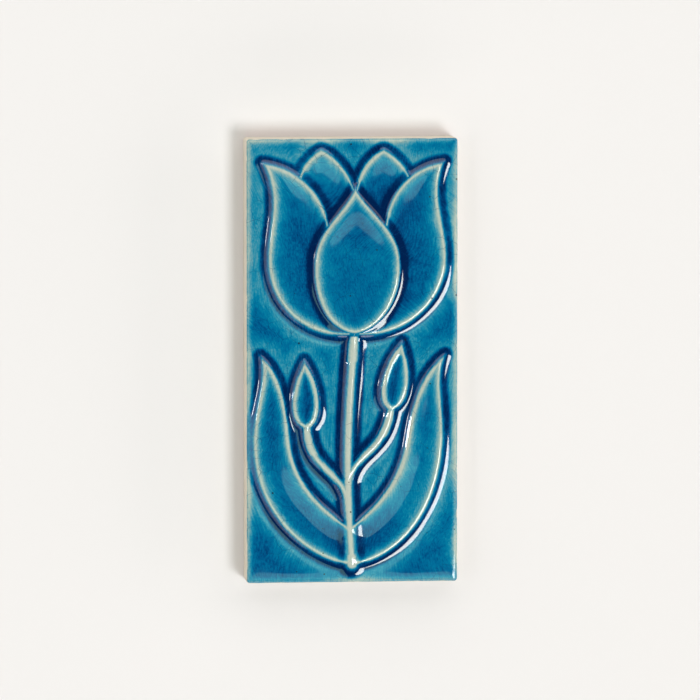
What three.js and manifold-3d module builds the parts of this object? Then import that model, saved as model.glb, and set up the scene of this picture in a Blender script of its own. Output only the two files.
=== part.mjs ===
// A glazed relief tile: one pressed and fired piece with a flat back, square sides and softly
// rounded face edges. A tulip plant stands up from the face. Its petals, leaves and buds are
// shallow dishes inside rounded rims. Its stems, and the fold on each bud, are rounded beads.
// Millimetres, +Z up out of the face, +Y towards the flower. The origin is the middle of the back.
import * as THREE from 'three';
import { mergeVertices } from 'three/addons/utils/BufferGeometryUtils.js';
import Module from 'manifold-3d';

const wasm = await Module();
wasm.setup();

// The tile.
const TILE_WIDTH = 72;
const TILE_LENGTH = 151;
const TILE_THICKNESS = 12.5; // from the back to the plain face, without the relief
const CORNER_RADIUS = 1.2; // of the four upright corners
const EDGE_WIDTH = 2.4; // how far the rounding of the face edges reaches in
const EDGE_DROP = 1.1; // and how far it falls
const BACK_ARRIS = 0.4; // the small chamfer round the back
const FACE_MARGIN = 3.5; // from the tile's side to the outermost point of the plant

// The relief: heights are above the plain face.
const FRONT_PETAL_HEIGHT = 2.1;
const SIDE_PETAL_HEIGHT = 1.4;
const BACK_PETAL_HEIGHT = 0.9;
const LEAF_HEIGHT = 1.2;
const BUD_HEIGHT = 1.3;
const STEM_HEIGHT = 1.5;
const STALK_HEIGHT = 1.3;
const FOLD_HEIGHT = 1.5;
const DISH_DEPTH = 0.5; // of a petal's or leaf's hollow below its rim
const RIM_WIDTH = 1.7;
const RIM_SLOPE = 0.75; // how far a rim's rounded shoulder reaches, on plan
const BEAD_SLOPE = 1.2; // the same for the widest beads and the knob
const BEAD_SHOULDER = 0.35; // and for narrower ones, as a share of their width
const STEM_WIDTH = 4;
const STALK_WIDTH = 3.3;
const FOLD_WIDTH = 2;
const STEM_SWAY = 1.6; // the plant bends this far to each side of an upright line
const LEFT_STALK_DROP = 6; // how much lower the left bud stands than the right one
const KNOB_WIDTH = 5.2; // the swelling at the stem's foot

// The sheet that the plant is drawn on. It is stretched to the tile's face inside its margin.
const SHEET_WIDTH = 64;
const SHEET_LENGTH = 143;

const ROOT_DEPTH = 1; // how far each raised form reaches down into the tile, so that they join
const OVERLAP = 0.3; // how far a form reaches over the cut that it makes in what is behind it
const CLOSE = 0.001; // distances this much too short still count as right
const STEPS_PER_CURVE = 7;
const STEPS_PER_CORNER = 5;

// The plant on its sheet: each outline is a start point, then cubic curves as two handles and an end.
const FRONT_PETAL = [[0, 9], [[9, 10], [15.5, 21], [14.5, 34]], [[13.8, 45], [4, 50], [0, 59]]];
const SIDE_PETAL = [
  [0, 8.5],
  [[13, 7], [28, 15], [30, 32]],
  [[31, 44], [24.5, 54], [30.5, 67]],
  [[20, 66], [11, 58], [9, 46]],
  [[6, 34], [2, 20], [0, 8.5]],
];
const BACK_PETAL = [
  [-1.5, 46],
  [[-2.5, 58], [3, 68], [10.5, 71.5]],
  [[18, 67], [21, 60], [21, 52]],
  [[16, 44], [4, 40], [-1.5, 46]],
];
const LEAF = [
  [-1, -69.5],
  [[15, -68], [32, -52], [32, -26]],
  [[32, -14], [28.5, -8], [31, 2]],
  [[24, -3], [21, -13], [19.5, -26]],
  [[17.5, -42], [8, -50], [-1, -56.5]],
  [[-1, -60], [-1, -65], [-1, -69.5]],
];
const BUD = [[14, -17], [[20, -16], [21.5, -6], [16.2, 6.5]], [[10, -1], [7, -15], [14, -17]]];
const BUD_FOLD = [[13.4, -15.4], [[9.9, -12.4], [11.3, -2.5], [15, 2.6]]];
const STALK = [[0, -42], [[2, -30], [12.5, -32], [14, -16.2]]];
const STEM = [[0, -68.5], [[0, -50], [0, -10], [0, 11]]];

// A closed mesh as a solid that can be joined and cut.
function solid(geometry) {
  geometry.deleteAttribute('normal');
  geometry.deleteAttribute('uv');
  const merged = mergeVertices(geometry, 1e-4);
  const vertProperties = merged.attributes.position.array;
  const triVerts = new Uint32Array(merged.index.array);
  return new wasm.Manifold(new wasm.Mesh({ numProp: 3, vertProperties, triVerts }));
}

// A curve from the sheet as points on the tile: mirrored for the left side, swayed and stretched.
function onTile([start, ...curves], side = 1, drop = 0) {
  const path = new THREE.Path();
  path.moveTo(...start);
  for (const [a, b, end] of curves) path.bezierCurveTo(...a, ...b, ...end);
  const across = (TILE_WIDTH - 2 * FACE_MARGIN) / SHEET_WIDTH;
  const along = (TILE_LENGTH - 2 * FACE_MARGIN) / SHEET_LENGTH;
  return path.getPoints(STEPS_PER_CURVE).map(({ x, y }) => {
    const height = y - drop;
    const sway = STEM_SWAY * Math.sin((2 * Math.PI * height) / SHEET_LENGTH);
    return new THREE.Vector2((side * x + sway) * across, height * along);
  });
}

// An outline without its repeated last point, anticlockwise.
function closed(points) {
  const ring = points[0].distanceTo(points.at(-1)) < 1e-6 ? points.slice(0, -1) : points.slice();
  return THREE.ShapeUtils.area(ring) < 0 ? ring.reverse() : ring;
}

// The outline moved in by a distance. Points that a sharp tip would throw past each other go.
function inset(ring, distance) {
  const moved = ring.map((here, i) => {
    const before = ring.at(i - 1);
    const after = ring[(i + 1) % ring.length];
    const entering = here.clone().sub(before).normalize();
    const leaving = after.clone().sub(here).normalize();
    const inward = new THREE.Vector2(-entering.y - leaving.y, entering.x + leaving.x);
    const stretch = distance / (0.5 * inward.lengthSq());
    return here.clone().addScaledVector(inward, stretch);
  });
  const nearest = (point) => Math.min(...ring.map((here, i) => gap(point, here, ring.at(i - 1))));
  return moved.filter((point) => nearest(point) > distance - CLOSE);
}

// The distance from a point to the straight line between two others.
function gap(point, from, to) {
  const line = to.clone().sub(from);
  const share = THREE.MathUtils.clamp(point.clone().sub(from).dot(line) / line.lengthSq(), 0, 1);
  return point.distanceTo(from.clone().addScaledVector(line, share));
}

// The upright form over an outline, from low to high.
function prism(ring, low, high) {
  const upright = { depth: high - low, bevelEnabled: false };
  const geometry = new THREE.ExtrudeGeometry(new THREE.Shape(ring), upright);
  return solid(geometry.translate(0, 0, low));
}

// A form that is raised from the tile over an outline. Its top edge is rounded over by a shoulder.
function raised(ring, height, shoulder) {
  const depth = ROOT_DEPTH + height - 2 * shoulder;
  const bevel = { bevelThickness: shoulder, bevelSize: shoulder, bevelOffset: -shoulder, bevelSegments: 2 };
  const geometry = new THREE.ExtrudeGeometry(new THREE.Shape(ring), { depth, ...bevel });
  return solid(geometry.translate(0, 0, TILE_THICKNESS - ROOT_DEPTH + shoulder));
}

// The outline of a bead of one width that follows a curve and has round ends.
function bead(points, width) {
  const half = width / 2;
  const left = [];
  const right = [];
  points.forEach((here, i) => {
    const before = points[Math.max(i - 1, 0)];
    const after = points[Math.min(i + 1, points.length - 1)];
    const ahead = after.clone().sub(before).normalize();
    const out = new THREE.Vector2(-ahead.y, ahead.x).multiplyScalar(half);
    left.push(here.clone().add(out));
    right.unshift(here.clone().sub(out));
  });
  const tip = roundEnd(left.at(-1), right[0]);
  const root = roundEnd(right.at(-1), left[0]);
  return closed([...left, ...tip, ...right, ...root]);
}

// Points between the two sides of a bead's end, on a half circle that bulges out of it.
function roundEnd(from, to, steps = 4) {
  const centre = from.clone().add(to).multiplyScalar(0.5);
  const spoke = from.clone().sub(centre);
  const turns = Array.from({ length: steps - 1 }, (_, i) => (-Math.PI * (i + 1)) / steps);
  return turns.map((turn) => spoke.clone().rotateAround(new THREE.Vector2(), turn).add(centre));
}

// The plain tile: the plan with its round corners, met by two loaves that give the rounded edges.
function plainTile() {
  const loaf = (width, length) => {
    const half = width / 2;
    const shape = new THREE.Shape();
    shape.moveTo(BACK_ARRIS - half, 0);
    shape.lineTo(half - BACK_ARRIS, 0);
    shape.lineTo(half, BACK_ARRIS);
    shape.lineTo(half, TILE_THICKNESS - EDGE_DROP);
    const springing = TILE_THICKNESS - EDGE_DROP;
    shape.absellipse(half - EDGE_WIDTH, springing, EDGE_WIDTH, EDGE_DROP, 0, Math.PI / 2, false);
    shape.absellipse(EDGE_WIDTH - half, springing, EDGE_WIDTH, EDGE_DROP, Math.PI / 2, Math.PI, false);
    shape.lineTo(-half, BACK_ARRIS);
    const along = { depth: length, bevelEnabled: false, curveSegments: STEPS_PER_CORNER };
    return new THREE.ExtrudeGeometry(shape, along).translate(0, 0, -length / 2).rotateX(Math.PI / 2);
  };
  const w = TILE_WIDTH / 2;
  const l = TILE_LENGTH / 2;
  const r = CORNER_RADIUS;
  const plan = new THREE.Shape();
  plan.absarc(w - r, l - r, r, 0, Math.PI / 2, false);
  plan.absarc(r - w, l - r, r, Math.PI / 2, Math.PI, false);
  plan.absarc(r - w, r - l, r, Math.PI, 1.5 * Math.PI, false);
  plan.absarc(w - r, r - l, r, 1.5 * Math.PI, 2 * Math.PI, false);
  const up = { depth: 2 * TILE_THICKNESS, bevelEnabled: false, curveSegments: STEPS_PER_CORNER };
  const upright = new THREE.ExtrudeGeometry(plan, up);
  const lengthways = solid(loaf(TILE_WIDTH, 2 * TILE_LENGTH));
  const crossways = solid(loaf(TILE_LENGTH, 2 * TILE_WIDTH).rotateZ(Math.PI / 2));
  return solid(upright).intersect(lengthways).intersect(crossways);
}

// Adds a form to the relief behind it, which it hides inside its own outline.
function inFront(behind, ring, form) {
  const hidden = prism(inset(ring, OVERLAP), 0, 2 * TILE_THICKNESS);
  return behind ? behind.subtract(hidden).add(form) : form;
}

// A petal, leaf or bud: a rounded rim round a shallow dish.
function dished(behind, points, height) {
  const ring = closed(points);
  const floor = TILE_THICKNESS + height - DISH_DEPTH;
  const dish = prism(inset(ring, RIM_WIDTH), floor, floor + TILE_THICKNESS);
  return inFront(behind, ring, raised(ring, height, RIM_SLOPE).subtract(dish));
}

// A stem, stalk or fold: a rounded bead along a curve. It is melted into what it crosses.
function rounded(behind, points, width, height) {
  const shoulder = Math.min(width * BEAD_SHOULDER, BEAD_SLOPE);
  return behind.add(raised(bead(points, width), height, shoulder));
}

// The round swelling at the stem's foot.
function knob() {
  const foot = onTile(STEM)[0];
  const circle = new THREE.Path().absarc(foot.x, foot.y, KNOB_WIDTH / 2, 0, 2 * Math.PI, false);
  return raised(closed(circle.getPoints(STEPS_PER_CURVE)), STEM_HEIGHT, BEAD_SLOPE);
}

function plant() {
  let relief = null;
  for (const [side, drop] of [[1, 0], [-1, LEFT_STALK_DROP]]) {
    relief = dished(relief, onTile(LEAF, side), LEAF_HEIGHT);
    relief = rounded(relief, onTile(STALK, side, drop), STALK_WIDTH, STALK_HEIGHT);
    relief = dished(relief, onTile(BUD, side, drop), BUD_HEIGHT);
    relief = rounded(relief, onTile(BUD_FOLD, side, drop), FOLD_WIDTH, FOLD_HEIGHT);
  }
  relief = rounded(relief, onTile(STEM), STEM_WIDTH, STEM_HEIGHT);
  relief = relief.add(knob());
  for (const side of [1, -1]) relief = dished(relief, onTile(BACK_PETAL, side), BACK_PETAL_HEIGHT);
  for (const side of [1, -1]) relief = dished(relief, onTile(SIDE_PETAL, side), SIDE_PETAL_HEIGHT);
  const leftHalf = onTile(FRONT_PETAL, -1).reverse();
  return dished(relief, [...onTile(FRONT_PETAL), ...leftHalf.slice(1)], FRONT_PETAL_HEIGHT);
}

const tile = plainTile().add(plant());
const mesh = tile.getMesh();
const geometry = new THREE.BufferGeometry();
geometry.setAttribute('position', new THREE.BufferAttribute(new Float32Array(mesh.vertProperties), 3));
geometry.setIndex(new THREE.BufferAttribute(new Uint32Array(mesh.triVerts), 1));
geometry.computeVertexNormals();

const glaze = new THREE.MeshStandardMaterial({ color: '#0f7aa6', roughness: 0.08, metalness: 0 });
const reliefTile = new THREE.Mesh(geometry, glaze);
reliefTile.name = 'relief_tile';

const part = new THREE.Group();
part.add(reliefTile);
export default part;
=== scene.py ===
# The looks of a glazed relief tile: a pressed cream clay body with a tulip plant in low relief, dipped
# face down in a clear blue glaze. The glaze ran off every raised edge, so the pale clay shows through
# there, and it pooled navy in the creases beside them.
import math

import bpy
import numpy as np
from mathutils import Matrix, Vector


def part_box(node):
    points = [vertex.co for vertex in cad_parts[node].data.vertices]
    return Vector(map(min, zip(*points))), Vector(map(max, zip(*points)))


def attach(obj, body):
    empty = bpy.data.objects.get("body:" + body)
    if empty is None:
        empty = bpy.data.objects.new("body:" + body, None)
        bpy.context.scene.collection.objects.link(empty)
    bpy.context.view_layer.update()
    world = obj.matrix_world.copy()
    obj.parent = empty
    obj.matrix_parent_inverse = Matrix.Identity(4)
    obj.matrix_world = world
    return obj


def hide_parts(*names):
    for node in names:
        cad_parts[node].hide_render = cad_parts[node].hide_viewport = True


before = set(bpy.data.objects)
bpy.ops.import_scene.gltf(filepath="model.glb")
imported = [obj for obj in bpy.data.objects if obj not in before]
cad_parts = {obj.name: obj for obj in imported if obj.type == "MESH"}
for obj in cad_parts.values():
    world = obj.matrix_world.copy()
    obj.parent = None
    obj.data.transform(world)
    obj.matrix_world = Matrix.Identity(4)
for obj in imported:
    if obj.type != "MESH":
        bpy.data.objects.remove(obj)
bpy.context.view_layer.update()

# Sizes are in millimetres until a mesh is made.
MM = 0.001
LOW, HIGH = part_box("relief_tile")
TILE_WIDTH = (HIGH.x - LOW.x) / MM
TILE_LENGTH = (HIGH.y - LOW.y) / MM
FRONT_PETAL_HEIGHT = 2.1
PLAIN_FACE = (HIGH.z - LOW.z) / MM - FRONT_PETAL_HEIGHT

# The clay body and its edges.
CORNER_RADIUS = 1.2
ARRIS_RADIUS = 0.9  # the rounding between the face and the sides
ARRIS_STEPS = 6  # of the mesh round it
BARE_ARRIS = 0.12  # how far in from the sides the arris was wiped bare of glaze
BARE_SWING = (0.08, 1.2)  # how unevenly it was wiped: swing and spread
BARE_FADE = 0.15  # over which the coat starts
BARE_RINGS = 2  # of the mesh, which are bare clay all the way round
PILLOW_DROP = 0.35  # the face also falls away softly towards its edges
PILLOW_REACH = 1.05
PILLOW_POWER = 1.5
BACK_ARRIS = 0.4
BACK_ARRIS_MIDDLE = 0.3  # from the middle of that rounding to each side of it, as a share of its radius
SIDE_DRAFT = 0.12  # how far the sides lean in towards the back
SIDE_UNEVENNESS = (0.03, 6)  # swing, and spread in columns of the mesh
SIDE_STEPS = 6

# The relief, above the plain face.
SIDE_PETAL_HEIGHT = 1.4
BACK_PETAL_HEIGHT = 0.9
LEAF_HEIGHT = 1.2
BUD_HEIGHT = 1.3
STEM_HEIGHT = 1.5
STALK_HEIGHT = 1.3
FOLD_HEIGHT = 1.5
STEM_WIDTH = 4.0
STALK_WIDTH = 3.3
FOLD_WIDTH = 2.0
KNOB_WIDTH = 5.2
WALL_WIDTH = 2.1  # on plan, of the drafted wall that the press left round each form
WALL_PLACE = -0.1  # from a form's outline to the middle of that wall
WALL_SHARPNESS = 0.6  # 0 is a wall that ends as softly at the rim as at its foot, 1 a sharp rim
CREST_INSET = 1.0  # from the outline to the crest of the rim
BEAD_CREST_INSET = 1.5  # from a stem's outline to its pale crest
DISH_DEPTH = 0.38  # of the clay inside a rim
DISH_REACH = 2.4
DISH_POWER = 1.6
BOWL_REACH = 5.0  # of a petal's wide, soft hollow below the dish
BOWL_POWER = 1.7

# The sheet that the plant is drawn on, stretched to the face inside its margin.
SHEET_WIDTH = 64
SHEET_LENGTH = 143
FACE_MARGIN = 3.5
STEM_SWAY = 1.6
LEFT_STALK_DROP = 6
ACROSS = (TILE_WIDTH - 2 * FACE_MARGIN) / SHEET_WIDTH
ALONG = (TILE_LENGTH - 2 * FACE_MARGIN) / SHEET_LENGTH
CURVE_STEPS = 26

# Each line is a start point, then cubic curves as two handles and an end.
FRONT_PETAL = [(0, 9), [(9, 10), (15.5, 21), (14.5, 34)], [(13.8, 45), (4, 50), (0, 59)]]
SIDE_PETAL = [
    (0, 8.5),
    [(13, 7), (28, 15), (30, 32)],
    [(31, 44), (24.5, 54), (30.5, 67)],
    [(20, 66), (11, 58), (9, 46)],
    [(6, 34), (2, 20), (0, 8.5)],
]
BACK_PETAL = [
    (-1.5, 46),
    [(-2.5, 58), (3, 68), (10.5, 71.5)],
    [(18, 67), (21, 60), (21, 52)],
    [(16, 44), (4, 40), (-1.5, 46)],
]
LEAF = [
    (-1, -69.5),
    [(15, -68), (32, -52), (32, -26)],
    [(32, -14), (28.5, -8), (31, 2)],
    [(24, -3), (21, -13), (19.5, -26)],
    [(17.5, -42), (8, -50), (-1, -56.5)],
    [(-1, -60), (-1, -65), (-1, -69.5)],
]
BUD = [(14, -17), [(20, -16), (21.5, -6), (16.2, 6.5)], [(10, -1), (7, -15), (14, -17)]]
BUD_FOLD = [(13.4, -15.4), [(9.9, -12.4), (11.3, -2.5), (15, 2.6)]]
STALK = [(0, -42), [(2, -30), (12.5, -32), (14, -16.2)]]
STEM = [(0, -68.5), [(0, -50), (0, -10), (0, 11)]]

# The glaze coat. Its own level follows the clay's walls, but it fills the dishes nearly to the rim.
FLAT_COAT = 0.25  # its thickness on plain clay
THIN_COAT = 0.07  # what stays on a crest
FLOW = ((0.75, 0.45), (0.25, 2.2))  # how far the melt levelled the relief: shares and spreads
PETAL_POOL_DEPTH = 0.45  # the hollow that is left in the glaze inside a rim
LEAF_POOL_DEPTH = 0.4
BUD_POOL_DEPTH = 0.3
BOWL_START_DEPTH = 0.18  # the clay's bowl is as deep as the pool, less this
POOL_REACH = 4.5
POOL_POWER = 1.5
CREST_REACH = 0.45  # how wide a crest drew its glaze off, on the side of the dish
CREST_FALL = 0.6  # and on the side of the wall
CREST_FADE = (0.4, 3.4)  # the share that fades out slowly, and how many reaches it goes
CREST_SWING = (0.18, 4.0)  # how unevenly the crests drew it off: swing and spread
CREASE_COAT = 0.94  # what ran together at the foot of a wall
FULL_STEP = 0.8  # the step of a wall that gathers all of that
STEP_SPREAD = 0.4
CREASE_PLACE = 0.95  # from the outline to the middle of that pool
CREASE_RISE = 1.4  # how soon it fades up the wall
CREASE_FALL = 1.45  # and out over what lies at its foot
CREASE_POWER = 3.5  # it ends more sharply there
MENISCUS = 0.16  # how high the melt crept up into the corner at that foot
MENISCUS_PLACE = 0.4  # from the outline to its top
MENISCUS_RISE = 1.2
MENISCUS_FALL = 1.5
MENISCUS_SWING = (0.35, 5.0)  # how unevenly it crept up: swing and spread
OPEN_GAIN = 0.42  # thicker in open ground, away from the relief that draws it off
OPEN_REACH = 7.0
OPEN_POWER = 3
BOWL_GAIN = 0.1  # thicker in the middle of a dish
BOWL_START = 5.0
FOOT_GAIN = 0.38  # a wide pool at the foot of a petal that lies on another one
FOOT_REACH = 4.0
FOOT_START = 3.0  # but not on the other one's own rim
EDGE_THINNING = 0.7  # the share that ran off near the tile's edges
EDGE_REACH = 2.0
EDGE_POWER = 3
EDGE_BEAD = 0.1  # the thicker bead along the arris
EDGE_BEAD_PLACE = 0.4
EDGE_BEAD_WIDTH = 0.16
THICKEST = 1.5
UNEVENNESS = ((0.06, 1.1), (0.2, 5.5))  # of the dipped coat: swings and spreads
WAVINESS = (0.012, 3.2)  # the fired surface's own slow waves: height and spread

# The mesh, and the raster of half its pitch that the relief is worked out on.
PITCH = 0.375
MARGIN_CELLS = 24  # of the raster, past the flat of the face on each side
SEED = 7
FAR = 99.0  # from any outline
ROUNDING = 1e-6  # so that a place on a cell's own line isn't put in the cell before it

# The bake map, as shares of its width.
BAKE_LENGTH = 0.97  # of the tile
BAKE_MARGIN = 0.01
BAKE_GAP = 0.012
BAKE_STEP = 0.06  # from one side's strip to the next, which is a little less than a strip is wide
BAKE_BACK = (0.87, 0.26)  # the middle of the back


def linear(colour, strength=1.0):
    """An sRGB hex value as linear light, with alpha 1."""
    shares = [int(colour[i:i + 2], 16) / 255 for i in (1, 3, 5)]
    light = [c / 12.92 if c <= 0.04045 else ((c + 0.055) / 1.055) ** 2.4 for c in shares]
    return [strength * c for c in light] + [1.0]


def node(tree, kind, links=None, **settings):
    """Adds a node. links maps its inputs to sockets or values, and settings are its own properties."""
    made = tree.nodes.new(kind)
    for name, value in settings.items():
        setattr(made, name, value)
    for name, value in (links or {}).items():
        if isinstance(value, bpy.types.NodeSocket):
            tree.links.new(value, made.inputs[name])
        else:
            made.inputs[name].default_value = value
    return made


def drawn(line, side=1, drop=0.0):
    """A drawn line as points on the tile: mirrored for the left side, swayed and stretched."""
    points = [np.array([line[0]], float)]
    share = np.linspace(0, 1, CURVE_STEPS + 1)[1:, None]
    rest = 1 - share
    for first, second, end in line[1:]:
        a, b, c = (np.array(p, float) for p in (first, second, end))
        start = points[-1][-1]
        points.append(
            rest ** 3 * start + 3 * rest ** 2 * share * a + 3 * rest * share ** 2 * b + share ** 3 * c
        )
    x, y = np.concatenate(points).T
    height = y - drop
    sway = STEM_SWAY * np.sin(2 * np.pi * height / SHEET_LENGTH)
    return np.stack([(side * x + sway) * ACROSS, height * ALONG], axis=1)


def distance(points, x, y, closed):
    """The distance to a line from each place, and whether the place is inside it if it's closed."""
    ends = np.roll(points, -1, axis=0) if closed else points[1:]
    nearest = np.full(x.shape, np.inf)
    inside = np.zeros(x.shape, bool)
    for (sx, sy), (ex, ey) in zip(points, ends):
        dx, dy = ex - sx, ey - sy
        if dx == 0 and dy == 0:
            continue
        share = np.clip(((x - sx) * dx + (y - sy) * dy) / (dx * dx + dy * dy), 0, 1)
        nearest = np.minimum(nearest, (x - sx - share * dx) ** 2 + (y - sy - share * dy) ** 2)
        if closed and sy != ey:
            inside ^= ((sy > y) != (ey > y)) & (x < sx + dx * (y - sy) / dy)
    return np.sqrt(nearest), inside


def smooth(t):
    """Rises softly from 0 to 1."""
    t = np.clip(t, 0, 1)
    return t * t * (3 - 2 * t)


def fading(away, reach, power=2):
    """Falls from 1 towards 0 past its reach. With a higher power it holds longer and then ends sharply."""
    return np.exp(-(away / reach) ** power)


def draft(t):
    """A pressed wall in section, from its foot to the rim."""
    t = np.clip(t, 0, 1)
    return t * t * (3 - 2 * t - WALL_SHARPNESS * (1 - t))


def blur(field, spread, pitch):
    """A Gaussian blur of a raster whose cells are pitch wide. The border's values go on outwards."""
    for axis, cell in ((0, pitch[1]), (1, pitch[0])):
        reach = int(math.ceil(3 * spread / cell))
        weights = np.exp(-0.5 * (np.arange(-reach, reach + 1) * cell / spread) ** 2)
        weights /= weights.sum()
        padded = np.pad(field, [(reach, reach) if a == axis else (0, 0) for a in (0, 1)], mode="edge")
        size = field.shape[axis]
        slices = (padded.take(range(i, i + size), axis=axis) for i in range(len(weights)))
        field = sum(w * s for w, s in zip(weights, slices))
    return field


def waves(shape, spread, pitch, random):
    """Seeded soft noise with a standard deviation of 1."""
    field = blur(random.standard_normal(shape), spread, pitch)
    return (field - field.mean()) / field.std()


class Relief:
    """The clay and the glaze over a raster of the face, and where each place lies in the drawing."""

    def __init__(self, x, y):
        self.x, self.y = np.meshgrid(x, y)
        self.clay = np.zeros(self.x.shape)  # the pressed clay's height
        self.melt = np.zeros(self.x.shape)  # the level that the melted glaze settles to
        self.own = np.full(self.x.shape, FAR)  # inside the form it belongs to, from its outline
        self.wall = np.full(self.x.shape, FAR)  # from the outline of the nearest form in front
        self.crest = np.full(self.x.shape, FAR)  # from the nearest crest, as a share of its reach
        self.level = np.zeros(self.x.shape)  # the height of the form it belongs to
        self.step = np.zeros(self.x.shape)  # how far the form in front stands above that
        self.dish = np.zeros(self.x.shape, bool)
        self.ground = np.ones(self.x.shape, bool)

    def window(self, points, reach=9.0):
        """The part of the raster that a form can touch."""
        low, high = points.min(axis=0) - reach, points.max(axis=0) + reach
        columns = np.flatnonzero((self.x[0] > low[0]) & (self.x[0] < high[0]))
        rows = np.flatnonzero((self.y[:, 0] > low[1]) & (self.y[:, 0] < high[1]))
        return slice(rows[0], rows[-1] + 1), slice(columns[0], columns[-1] + 1)

    def place(self, part, depth, height, clay, melt, crest, in_front):
        """Lays a form over what is there. depth is how far inside its outline each place is."""
        inside = depth > 0
        nearest = -depth < self.wall[part]
        self.step[part] = np.where(inside | nearest, height - self.level[part], self.step[part])
        self.level[part] = np.where(inside, height, self.level[part])
        covers = (depth > CREST_INSET) & in_front
        self.clay[part] = np.where(covers, clay, np.maximum(self.clay[part], clay))
        self.melt[part] = np.where(covers, melt, np.maximum(self.melt[part], melt))
        self.wall[part] = np.where(inside, FAR, np.minimum(self.wall[part], -depth))
        self.own[part] = np.where(inside, depth, self.own[part])
        self.crest[part] = np.where(inside & in_front, crest, np.minimum(self.crest[part], crest))
        self.dish[part] = np.where(inside, in_front, self.dish[part])
        self.ground[part] &= ~inside

    def dished(self, points, height, pool_depth):
        """A petal, leaf or bud: a rim round a dish, in front of what is there."""
        part = self.window(points)
        away, inside = distance(points, self.x[part], self.y[part], closed=True)
        depth = np.where(inside, away, -away)
        wall = height * draft((depth - WALL_PLACE) / WALL_WIDTH + 0.5)
        past = np.clip(depth - CREST_INSET, 0, None)
        hollow = DISH_DEPTH * (1 - fading(past, DISH_REACH, DISH_POWER))
        hollow += (pool_depth - BOWL_START_DEPTH) * (1 - fading(past, BOWL_REACH, BOWL_POWER))
        pool = pool_depth * (1 - fading(past, POOL_REACH, POOL_POWER))
        crest = np.maximum((CREST_INSET - depth) / CREST_FALL, past / CREST_REACH)
        self.place(part, depth, height, wall - hollow, wall - pool, crest, in_front=True)

    def rounded(self, points, width, height):
        """A stem or stalk: a bead along a line. It is melted into what it crosses."""
        part = self.window(points)
        away, _ = distance(points, self.x[part], self.y[part], closed=False)
        depth = width / 2 - away
        low = WALL_WIDTH / 2 - WALL_PLACE
        bead = height * smooth((depth + low) / (width / 2 + low))
        crest = np.clip(away - width / 2 + BEAD_CREST_INSET, 0, None) / CREST_REACH
        self.place(part, depth, height, bead, bead, crest, in_front=False)


def plant(relief):
    """Lays the tulip plant on the face, from the back to the front."""
    for side, drop in ((1, 0), (-1, LEFT_STALK_DROP)):
        relief.dished(drawn(LEAF, side), LEAF_HEIGHT, LEAF_POOL_DEPTH)
        relief.rounded(drawn(STALK, side, drop), STALK_WIDTH, STALK_HEIGHT)
        relief.dished(drawn(BUD, side, drop), BUD_HEIGHT, BUD_POOL_DEPTH)
        relief.rounded(drawn(BUD_FOLD, side, drop), FOLD_WIDTH, FOLD_HEIGHT)
    relief.rounded(drawn(STEM), STEM_WIDTH, STEM_HEIGHT)
    relief.rounded(drawn(STEM)[:2], KNOB_WIDTH, STEM_HEIGHT)
    for side in (1, -1):
        relief.dished(drawn(BACK_PETAL, side), BACK_PETAL_HEIGHT, PETAL_POOL_DEPTH)
    for side in (1, -1):
        relief.dished(drawn(SIDE_PETAL, side), SIDE_PETAL_HEIGHT, PETAL_POOL_DEPTH)
    left_half = drawn(FRONT_PETAL, -1)[::-1]
    front = np.concatenate([drawn(FRONT_PETAL), left_half[1:]])
    relief.dished(front, FRONT_PETAL_HEIGHT, PETAL_POOL_DEPTH)


def coat(relief, pitch, random):
    """The fired glaze: its upper surface above the plain face, and its thickness as the eye sees it."""
    level = sum(share * blur(relief.melt, spread, pitch) for share, spread in FLOW)
    spare = (level - relief.clay + FLAT_COAT - THIN_COAT) / THIN_COAT
    thickness = THIN_COAT + THIN_COAT * np.logaddexp(0, spare)
    surface = relief.clay - FLAT_COAT + thickness
    shape = relief.clay.shape
    height, spread = WAVINESS
    surface += height * waves(shape, spread, pitch, random)

    step = smooth(blur(relief.step, STEP_SPREAD, pitch) / FULL_STEP)
    swing, spread = MENISCUS_SWING
    gathered = MENISCUS * step * np.exp(swing * waves(shape, spread, pitch, random))

    def corner(past, place, rise, fall, power=2):
        """What lies in the corner at the foot of a wall, by the distance past the form's outline."""
        up = fading(np.clip(place - past, 0, None), rise)
        return up * fading(np.clip(past - place, 0, None), fall, power)

    for past in (relief.wall, -relief.own):
        surface += gathered * corner(past, MENISCUS_PLACE, MENISCUS_RISE, MENISCUS_FALL)
        thickness += CREASE_COAT * step * corner(past, CREASE_PLACE, CREASE_RISE, CREASE_FALL, CREASE_POWER)
    opened = OPEN_GAIN * (1 - fading(relief.wall, OPEN_REACH, OPEN_POWER))
    bowl = BOWL_GAIN * (1 - fading(relief.own, BOWL_START))
    foot = FOOT_GAIN * fading(relief.wall, FOOT_REACH, 1) * (1 - fading(relief.own, FOOT_START))
    thickness += np.where(relief.ground, opened, np.where(relief.dish, bowl + foot, 0))
    for swing, spread in UNEVENNESS:
        thickness *= 1 + swing * waves(shape, spread, pitch, random)
    swing, spread = CREST_SWING
    crest = relief.crest * np.exp(swing * waves(shape, spread, pitch, random))
    slow, spread = CREST_FADE
    drawn_off = (1 - slow) * fading(crest, 1) + slow * fading(crest, spread)
    thickness -= (thickness - THIN_COAT) * drawn_off
    return surface, np.clip(thickness, THIN_COAT, THICKEST)


def edge_steps():
    """How far in from the tile's side the first lines of the mesh lie, evenly along the arris."""
    turn = np.linspace(0, np.pi / 2, ARRIS_STEPS + 1)[:-1]
    return ARRIS_RADIUS * (1 - np.cos(turn))


def lines(size):
    """The places of the mesh's lines across one side of the tile, and the even pitch between them."""
    steps = edge_steps()
    inner = size / 2 - ARRIS_RADIUS
    count = int(round(2 * inner / PITCH))
    even = np.linspace(-inner, inner, count + 1)
    return np.concatenate([steps - size / 2, even, size / 2 - steps[::-1]]), 2 * inner / count


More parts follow.
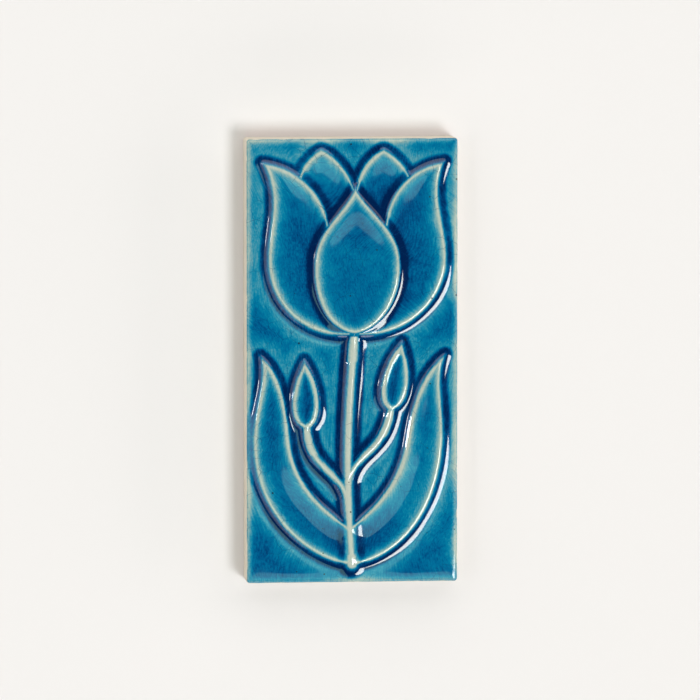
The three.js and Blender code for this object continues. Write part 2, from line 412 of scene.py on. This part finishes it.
def sampled(field, x, y, x0, y0, pitch):
    """A raster's value at each place, by the four cells round it."""
    u = (x - x0) / pitch[0]
    v = (y - y0) / pitch[1]
    i = np.clip(np.floor(u + ROUNDING).astype(int), 0, field.shape[1] - 2)
    j = np.clip(np.floor(v + ROUNDING).astype(int), 0, field.shape[0] - 2)
    u, v = u - i, v - j
    lower = field[j, i] * (1 - u) + field[j, i + 1] * u
    upper = field[j + 1, i] * (1 - u) + field[j + 1, i + 1] * u
    return lower * (1 - v) + upper * v


def round_corners(x, y):
    """Moves the places near the four corners, so that the outermost lines follow a round corner."""
    across = np.abs(x) - (TILE_WIDTH / 2 - CORNER_RADIUS)
    along = np.abs(y) - (TILE_LENGTH / 2 - CORNER_RADIUS)
    corner = (across > 0) & (along > 0)
    ring = np.maximum(across, along)
    small = np.minimum(across, along)
    turn = np.where(corner, np.pi / 4 * small / np.where(corner, ring, 1), 0)
    turn = np.where(across >= along, turn, np.pi / 2 - turn)
    far_x = TILE_WIDTH / 2 - CORNER_RADIUS + ring * np.cos(turn)
    far_y = TILE_LENGTH / 2 - CORNER_RADIUS + ring * np.sin(turn)
    return np.where(corner, np.sign(x) * far_x, x), np.where(corner, np.sign(y) * far_y, y)


def edge_drop(inset):
    """How far the face lies below its plain level, by the distance in from the tile's side."""
    round_in = np.clip(ARRIS_RADIUS - inset, 0, ARRIS_RADIUS)
    arris = ARRIS_RADIUS - np.sqrt(ARRIS_RADIUS ** 2 - round_in ** 2)
    return arris + PILLOW_DROP * fading(inset, PILLOW_REACH, PILLOW_POWER)


def face_grid(random):
    """The glazed face as rows of points, with the glaze's thickness at each."""
    x_lines, x_pitch = lines(TILE_WIDTH)
    y_lines, y_pitch = lines(TILE_LENGTH)
    pitch = (x_pitch / 2, y_pitch / 2)
    x0 = ARRIS_RADIUS - TILE_WIDTH / 2 - MARGIN_CELLS * pitch[0]
    y0 = ARRIS_RADIUS - TILE_LENGTH / 2 - MARGIN_CELLS * pitch[1]
    x_count = int(round(-2 * x0 / pitch[0])) + 1
    y_count = int(round(-2 * y0 / pitch[1])) + 1
    relief = Relief(x0 + pitch[0] * np.arange(x_count), y0 + pitch[1] * np.arange(y_count))
    plant(relief)
    surface, thickness = coat(relief, pitch, random)
    swing, spread = BARE_SWING
    ragged = swing * waves(thickness.shape, spread, pitch, random)
    x, y = np.meshgrid(x_lines, y_lines)
    fields = (surface, thickness, ragged)
    surface, thickness, ragged = (sampled(field, x, y, x0, y0, pitch) for field in fields)

    inset = np.minimum(TILE_WIDTH / 2 - np.abs(x), TILE_LENGTH / 2 - np.abs(y))
    glaze = np.maximum(thickness * (1 - EDGE_THINNING * fading(inset, EDGE_REACH, EDGE_POWER)), THIN_COAT)
    glaze += EDGE_BEAD * fading(inset - EDGE_BEAD_PLACE, EDGE_BEAD_WIDTH)
    covered = smooth((inset - BARE_ARRIS - ragged) / BARE_FADE)
    z = PLAIN_FACE + surface - edge_drop(inset) - THIN_COAT * (1 - covered)
    x, y = round_corners(x, y)
    return np.stack([x, y, z], axis=-1), glaze * covered


def border(rows, columns):
    """The grid's outermost points, anticlockwise from the lower left corner, as indices."""
    index = np.arange(rows * columns).reshape(rows, columns)
    return np.concatenate([index[0, :-1], index[:-1, -1], index[-1, :0:-1], index[:0:-1, 0]])


def loop_waves(count, spread, random):
    """Seeded soft noise round a closed loop, with a standard deviation of 1."""
    cells = np.minimum(np.arange(count), count - np.arange(count))
    weights = np.exp(-0.5 * (cells / spread) ** 2)
    noise = np.fft.ifft(np.fft.fft(random.standard_normal(count)) * np.fft.fft(weights)).real
    return (noise - noise.mean()) / noise.std()


def side_rows(top, random):
    """Loops of points from the face's border down to the back. The pressed sides are a little uneven."""
    count = len(top)
    ahead = np.roll(top, -1, axis=0)[:, :2] - np.roll(top, 1, axis=0)[:, :2]
    out = np.stack([ahead[:, 1], -ahead[:, 0]], axis=1)
    out /= np.linalg.norm(out, axis=1)[:, None]
    loops = []

    def add(height, stand_off):
        moved = top[:, :2] + out * np.broadcast_to(stand_off, count)[:, None]
        loops.append(np.column_stack([moved, np.broadcast_to(height, count)]))

    swing, spread = SIDE_UNEVENNESS
    for step in range(1, SIDE_STEPS + 1):
        share = step / SIDE_STEPS
        stand_off = -SIDE_DRAFT * share + swing * loop_waves(count, spread, random)
        add(top[:, 2] * (1 - share) + BACK_ARRIS * share, stand_off)
    middle = BACK_ARRIS * BACK_ARRIS_MIDDLE
    add(middle, -SIDE_DRAFT - middle)
    add(0.0, -SIDE_DRAFT - BACK_ARRIS)
    return loops


def mesh_of(points, quads, back):
    """A mesh from points, four-sided faces and one many-sided back, and the points of all their corners."""
    mesh = bpy.data.meshes.new("glazed_tile")
    corners = np.concatenate([quads.ravel(), back])
    starts = 4 * np.arange(len(quads) + 1)
    mesh.vertices.add(len(points))
    mesh.vertices.foreach_set("co", (points * MM).astype(np.float32).ravel())
    mesh.loops.add(len(corners))
    mesh.loops.foreach_set("vertex_index", corners.astype(np.int32))
    mesh.polygons.add(len(starts))
    mesh.polygons.foreach_set("loop_start", starts.astype(np.int32))
    mesh.update(calc_edges=True)
    mesh.validate()
    smooth_shaded = np.ones(len(starts), bool)
    smooth_shaded[-1] = False
    mesh.polygons.foreach_set("use_smooth", smooth_shaded)
    return mesh, corners


def build_tile():
    """The whole tile as one closed mesh: glazed face, bare arris, sides and back."""
    random = np.random.default_rng(SEED)
    grid, face_glaze = face_grid(random)
    rows, columns = face_glaze.shape
    rim = border(rows, columns)
    count = len(rim)
    loops = side_rows(grid.reshape(-1, 3)[rim], random)
    points = np.concatenate([grid.reshape(-1, 3)] + loops)

    index = np.arange(rows * columns).reshape(rows, columns)
    face = np.stack([index[:-1, :-1], index[:-1, 1:], index[1:, 1:], index[1:, :-1]], axis=-1).reshape(-1, 4)
    rings = [rim] + [rows * columns + count * i + np.arange(count) for i in range(len(loops))]
    quads = [face]
    for upper, lower in zip(rings, rings[1:]):
        quads.append(np.stack([lower, np.roll(lower, -1), np.roll(upper, -1), upper], axis=-1))
    quads = np.concatenate(quads)
    mesh, corners = mesh_of(points, quads, rings[-1][::-1])
    lay_out(mesh, points, corners, len(face), columns, rows)

    from_side = [np.minimum(np.arange(size), np.arange(size)[::-1]) for size in (rows - 1, columns - 1)]
    glazed = np.minimum(from_side[0][:, None], from_side[1]) >= BARE_RINGS
    finish = np.ones(len(mesh.polygons), np.int32)
    finish[:len(face)][glazed.ravel()] = 0
    mesh.polygons.foreach_set("material_index", finish)
    glaze = np.zeros(len(points), np.float32)
    glaze[:rows * columns] = face_glaze.ravel()
    mesh.attributes.new("glaze_mm", "FLOAT", "POINT").data.foreach_set("value", glaze)
    tile = bpy.data.objects.new("glazed_tile", mesh)
    bpy.context.scene.collection.objects.link(tile)
    return tile


def lay_out(mesh, points, corners, face_count, columns, rows):
    """The bake map: the face lies flat, each side is a strip beside it, and the back is at half size."""
    scale = BAKE_LENGTH / TILE_LENGTH
    place = points[corners]
    from_corner = place[:, :2] + [TILE_WIDTH / 2, TILE_LENGTH / 2]
    count = 2 * (columns + rows - 2)
    sides = slice(face_count * 4, len(corners) - count)
    column = (np.arange(sides.start, sides.stop) // 4 - face_count) % count
    second = column >= count // 2
    short = column % (count // 2) < columns - 1
    along = np.where(short, from_corner[sides, 0], from_corner[sides, 1])
    beside_face = TILE_WIDTH * scale + 2 * BAKE_GAP
    uv = BAKE_MARGIN + from_corner * scale
    uv[sides, 0] = beside_face + place[sides, 2] * scale + BAKE_STEP * (2 * short + second)
    uv[sides, 1] = BAKE_MARGIN + along * scale
    uv[sides.stop:] = place[sides.stop:, :2] * scale / 2 + BAKE_BACK
    layer = mesh.uv_layers.new(name="OFBake")
    layer.data.foreach_set("uv", uv.astype(np.float32).ravel())


def clear_glaze():
    """Transparent lead-free majolica glaze, dipped and fired over cream clay. Colour grows with its
    thickness: celadon over a crest, teal on a slope, blue on the flat and navy in a crease. Its own
    surface is smooth as glass, and below it are the mould's tool marks, a few iron specks and a craze."""
    material = bpy.data.materials.new("clear_blue_glaze")
    material.use_nodes = True
    tree = material.node_tree
    shader = tree.nodes["Principled BSDF"]
    place = node(tree, "ShaderNodeTexCoord").outputs["Object"]
    thickness = node(tree, "ShaderNodeAttribute", attribute_name="glaze_mm").outputs["Fac"]

    # Bubbles and clay grain below the surface mottle the colour, 0.8 mm across.
    grain = node(tree, "ShaderNodeTexNoise", {"Vector": place, "Scale": 1 / (0.8 * MM), "Detail": 4.0,
                                              "Roughness": 0.6})
    mottle = node(tree, "ShaderNodeMapRange", {"Value": grain.outputs["Fac"], "To Min": 0.65, "To Max": 1.35})

    # The mould's fine tool marks below it: sweeping strokes about 0.5 mm wide and 2 mm long.
    sweep = node(tree, "ShaderNodeTexNoise", {"Vector": place, "Scale": 1 / (26 * MM), "Detail": 0.0})
    swept = node(tree, "ShaderNodeVectorMath", {0: sweep.outputs["Color"], 1: (30 * MM,) * 3, 2: place},
                 operation="MULTIPLY_ADD")
    along = node(tree, "ShaderNodeMapping", {"Vector": swept.outputs["Vector"], "Rotation": (0, 0, -0.9),
                                             "Scale": (1 / (0.5 * MM), 1 / (2.2 * MM), 1.0)})
    strokes = node(tree, "ShaderNodeTexNoise", {"Vector": along.outputs["Vector"], "Scale": 1.0,
                                                "Detail": 1.0})
    tooled = node(tree, "ShaderNodeMapRange", {"Value": strokes.outputs["Fac"], "From Min": 0.25,
                                               "From Max": 0.75, "To Min": 0.8, "To Max": 1.2})
    marked = node(tree, "ShaderNodeMath", {0: mottle.outputs["Result"], 1: tooled.outputs["Result"]},
                  operation="MULTIPLY")
    seen = node(tree, "ShaderNodeMath", {0: thickness, 1: marked.outputs[0]}, operation="MULTIPLY")
    share = node(tree, "ShaderNodeMath", {0: seen.outputs[0], 1: THICKEST}, operation="DIVIDE")
    ramp = node(tree, "ShaderNodeValToRGB", {"Fac": share.outputs[0]})
    depth_colours = (
        (0.015, "#E2D9C9"), (0.035, "#BDC5BD"), (0.07, "#BDC5BD"), (0.12, "#9CB5B2"), (0.17, "#7AA7B0"),
        (0.25, "#4793AC"), (0.33, "#1F86A8"), (0.42, "#0478A1"), (0.55, "#006797"), (0.75, "#004E84"),
        (1.0, "#003467"), (1.35, "#001F4E"),
    )
    stops = ramp.color_ramp.elements
    while len(stops) < len(depth_colours):
        stops.new(0.5)
    for stop, (depth, colour) in zip(stops, depth_colours):
        stop.position = depth / THICKEST
        stop.color = linear(colour)

    # Iron specks burnt into the clay: one in each 9 mm of face at most, up to 0.8 mm across.
    cells = node(tree, "ShaderNodeTexVoronoi", {"Vector": place, "Scale": 1 / (9 * MM)},
                 voronoi_dimensions="2D")
    size = node(tree, "ShaderNodeSeparateColor", {"Color": cells.outputs["Color"]})
    radius = node(tree, "ShaderNodeMapRange", {"Value": size.outputs["Red"], "To Min": -0.09,
                                               "To Max": 0.045})
    inside = node(tree, "ShaderNodeMath", {0: radius.outputs["Result"], 1: cells.outputs["Distance"]},
                  operation="SUBTRACT")
    speck = node(tree, "ShaderNodeMapRange", {"Value": inside.outputs[0], "From Max": 0.006, "To Max": 0.85})
    specked = node(tree, "ShaderNodeMix", {"Factor": speck.outputs["Result"], "A": ramp.outputs["Color"],
                                           "B": linear("#1B2430")}, data_type="RGBA")

    # The craze: hairlines round cells of about 4 mm, drawn 0.3 mm wide so that they show at all. They
    # wander, and they took up colour in patches.
    wander = node(tree, "ShaderNodeTexNoise", {"Vector": place, "Scale": 1 / (2.5 * MM), "Detail": 2.0})
    bent = node(tree, "ShaderNodeVectorMath", {0: wander.outputs["Color"], 1: (1.6 * MM,) * 3, 2: place},
                operation="MULTIPLY_ADD")
    crack = node(tree, "ShaderNodeTexVoronoi", {"Vector": bent.outputs["Vector"], "Scale": 1 / (4 * MM)},
                 feature="DISTANCE_TO_EDGE", voronoi_dimensions="2D")
    patches = node(tree, "ShaderNodeTexNoise", {"Vector": place, "Scale": 1 / (11 * MM), "Detail": 1.0})
    stained = node(tree, "ShaderNodeMapRange", {"Value": patches.outputs["Fac"], "From Min": 0.4,
                                                "From Max": 0.62, "To Max": 0.65})
    hairline = node(tree, "ShaderNodeMapRange", {"Value": crack.outputs["Distance"], "From Max": 0.035,
                                                 "To Min": 1.0, "To Max": 0.0})
    craze = node(tree, "ShaderNodeMath", {0: hairline.outputs["Result"], 1: stained.outputs["Result"]},
                 operation="MULTIPLY")
    crazed = node(tree, "ShaderNodeMix", {"Factor": craze.outputs[0], "A": specked.outputs["Result"],
                                          "B": linear("#063A6C")}, data_type="RGBA")
    tree.links.new(crazed.outputs["Result"], shader.inputs["Base Color"])

    # Glass-smooth, with a little haze where the kiln's breath touched it.
    haze = node(tree, "ShaderNodeTexNoise", {"Vector": place, "Scale": 1 / (14 * MM), "Detail": 2.0})
    glassy = node(tree, "ShaderNodeMapRange", {"Value": haze.outputs["Fac"], "To Min": 0.02, "To Max": 0.06})
    roughness = node(tree, "ShaderNodeMapRange", {"Value": thickness, "From Min": 0.02, "From Max": 0.05,
                                                  "To Min": 0.8, "To Max": glassy.outputs["Result"]})
    tree.links.new(roughness.outputs["Result"], shader.inputs["Roughness"])
    shader.inputs["IOR"].default_value = 1.55
    return material


def bare_bisque():
    """Cream earthenware, dry-pressed and fired without glaze. It is matt and chalky, with a fine sandy
    grain and faint kiln toning."""
    material = bpy.data.materials.new("bare_bisque")
    material.use_nodes = True
    tree = material.node_tree
    shader = tree.nodes["Principled BSDF"]
    place = node(tree, "ShaderNodeTexCoord").outputs["Object"]
    tone = node(tree, "ShaderNodeTexNoise", {"Vector": place, "Scale": 1 / (9 * MM), "Detail": 4.0})
    body = node(tree, "ShaderNodeMix", {"Factor": tone.outputs["Fac"], "A": linear("#D8CFC0"),
                                        "B": linear("#E6DFD2")}, data_type="RGBA")
    sand = node(tree, "ShaderNodeTexNoise", {"Vector": place, "Scale": 1 / (0.5 * MM), "Detail": 4.0})
    grit = node(tree, "ShaderNodeMapRange", {"Value": sand.outputs["Fac"], "From Min": 0.62, "From Max": 0.74,
                                             "To Max": 0.45})
    sanded = node(tree, "ShaderNodeMix", {"Factor": grit.outputs["Result"], "A": body.outputs["Result"],
                                          "B": linear("#BBA88C")}, data_type="RGBA")
    tree.links.new(sanded.outputs["Result"], shader.inputs["Base Color"])
    bump = node(tree, "ShaderNodeBump", {"Height": sand.outputs["Fac"], "Strength": 0.5,
                                         "Distance": 0.08 * MM})
    tree.links.new(bump.outputs["Normal"], shader.inputs["Normal"])
    shader.inputs["Roughness"].default_value = 0.85
    return material


def pale_card():
    """Off-white matt paper with a faint rose cast, which the tile lies on."""
    material = bpy.data.materials.new("matt_white_paper")
    material.use_nodes = True
    shader = material.node_tree.nodes["Principled BSDF"]
    shader.inputs["Base Color"].default_value = linear("#EBE7EC")
    shader.inputs["Roughness"].default_value = 0.9
    shader.inputs["Specular IOR Level"].default_value = 0.1
    return material


FLOOR_REACH = 30.0  # metres each way, out to the horizon
FLOOR_GAP = 0.02  # below the tile's back, so that the two faces don't coincide


def floor():
    """The sheet of paper that the tile lies on."""
    mesh = bpy.data.meshes.new("floor")
    corners = [(x * FLOOR_REACH, y * FLOOR_REACH, 0) for x, y in ((-1, -1), (1, -1), (1, 1), (-1, 1))]
    mesh.from_pydata(corners, [], [(0, 1, 2, 3)])
    mesh.materials.append(pale_card())
    made = bpy.data.objects.new("floor", mesh)
    made.location.z = LOW.z - FLOOR_GAP * MM
    bpy.context.scene.collection.objects.link(made)


# The studio: bright and pale cards in a plane overhead. Their edges are given as tangents of the
# angle from straight up, to the right and up the tile, and their light as radiance.
STUDIO = (
    ("key softbox", (0.24, 0.59), (-0.56, -0.13), 16.2, "#F7F7F4"),
    ("left card", (-7.0, -0.56), (-1.5, 7.0), 1.06, "#FFF9EC"),
    ("upper card", (-0.56, 2.0), (0.52, 7.0), 1.52, "#FFF9EC"),
    ("right card", (2.6, 12.0), (-12.0, 2.0), 3.0, "#FFF4EC"),
    ("lower card", (-1.5, 2.6), (-12.0, -2.6), 3.0, "#FFF4EC"),
    ("left strip", (-0.73, -0.66), (-0.01, 0.06), 34.0, "#FFFFFF"),
    ("ceiling patch", (-0.22, 0.48), (-0.45, -0.13), 1.8, "#B4FFE6"),
)
DARK_ROOM = 0.012  # the radiance of the room behind them
LOWEST_RISE = 0.001  # a direction's least height, so that nothing is divided by zero at the horizon


def studio():
    """Lights the scene from the world, so that the floor is lit evenly out to the horizon."""
    world = bpy.data.worlds.new("studio")
    world.use_nodes = True
    bpy.context.scene.world = world
    tree = world.node_tree
    direction = node(tree, "ShaderNodeTexCoord").outputs["Generated"]
    split = node(tree, "ShaderNodeSeparateXYZ", {"Vector": direction})
    height = node(tree, "ShaderNodeMath", {0: split.outputs["Z"], 1: LOWEST_RISE}, operation="MAXIMUM")
    across = node(tree, "ShaderNodeMath", {0: split.outputs["X"], 1: height.outputs[0]}, operation="DIVIDE")
    along = node(tree, "ShaderNodeMath", {0: split.outputs["Y"], 1: height.outputs[0]}, operation="DIVIDE")
    light = node(tree, "ShaderNodeRGB").outputs[0]
    light.default_value = linear("#CFE6FF", DARK_ROOM)
    for _, (left, right), (low, high), radiance, colour in STUDIO:
        mask = None
        for value, start, end in ((across, left, right), (along, low, high)):
            middle, half = (start + end) / 2, (end - start) / 2
            within = node(tree, "ShaderNodeMath", {0: value.outputs[0], 1: middle, 2: half},
                          operation="COMPARE")
            mask = within if mask is None else node(
                tree, "ShaderNodeMath", {0: mask.outputs[0], 1: within.outputs[0]}, operation="MULTIPLY")
        glow = node(tree, "ShaderNodeMix", {"Factor": mask.outputs[0], "A": (0, 0, 0, 1),
                                            "B": linear(colour, radiance)}, data_type="RGBA")
        light = node(tree, "ShaderNodeMix", {"Factor": 1.0, "A": light, "B": glow.outputs["Result"]},
                     data_type="RGBA", blend_type="ADD", clamp_factor=False).outputs["Result"]
    from_camera = node(tree, "ShaderNodeLightPath").outputs["Is Camera Ray"]
    backdrop = node(tree, "ShaderNodeMix", {"Factor": from_camera, "A": light, "B": linear("#F4F2EC")},
                    data_type="RGBA")
    tree.links.new(backdrop.outputs["Result"], tree.nodes["Background"].inputs["Color"])


# The camera looks down from far off, past the upper left edges, so that a sliver of those sides shows.
LENS = 400
SENSOR = 36
FRAME_WIDTH = 234.7  # what the picture spans on the face
PAST_LEFT = 0.09  # its slant, as a tangent
PAST_TOP = 0.0625
FRAME_PIXELS = 700
TILE_CENTRE_X = 352.3  # where the middle of the face falls in the picture, in pixels
TILE_CENTRE_Y = 361.0


def camera():
    """Aims at the middle of the face, and shifts the picture so that the tile lies in its place there."""
    away = FRAME_WIDTH * LENS / SENSOR
    settings = bpy.data.cameras.new("camera")
    settings.lens = LENS
    settings.sensor_width = SENSOR
    settings.clip_end = 100
    settings.shift_x = (FRAME_PIXELS / 2 - TILE_CENTRE_X) / FRAME_PIXELS
    settings.shift_y = (TILE_CENTRE_Y - FRAME_PIXELS / 2) / FRAME_PIXELS
    made = bpy.data.objects.new("camera", settings)
    left = -TILE_WIDTH / 2 - PAST_LEFT * away
    up = TILE_LENGTH / 2 + PAST_TOP * away
    made.location = Vector((left, up, PLAIN_FACE + away)) * MM
    look = Vector((0, 0, PLAIN_FACE * MM)) - made.location
    right = look.cross(Vector((0, 1, 0))).normalized()
    upward = right.cross(look).normalized()
    turn = np.array([right, upward, -look.normalized()]).T
    made.rotation_euler = Matrix(turn).to_euler()
    bpy.context.scene.collection.objects.link(made)
    bpy.context.scene.camera = made


bpy.context.scene.view_settings.view_transform = "Standard"
camera()
studio()
floor()
tile = build_tile()
tile.data.materials.append(clear_glaze())
tile.data.materials.append(bare_bisque())
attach(tile, "root")
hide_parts("relief_tile")
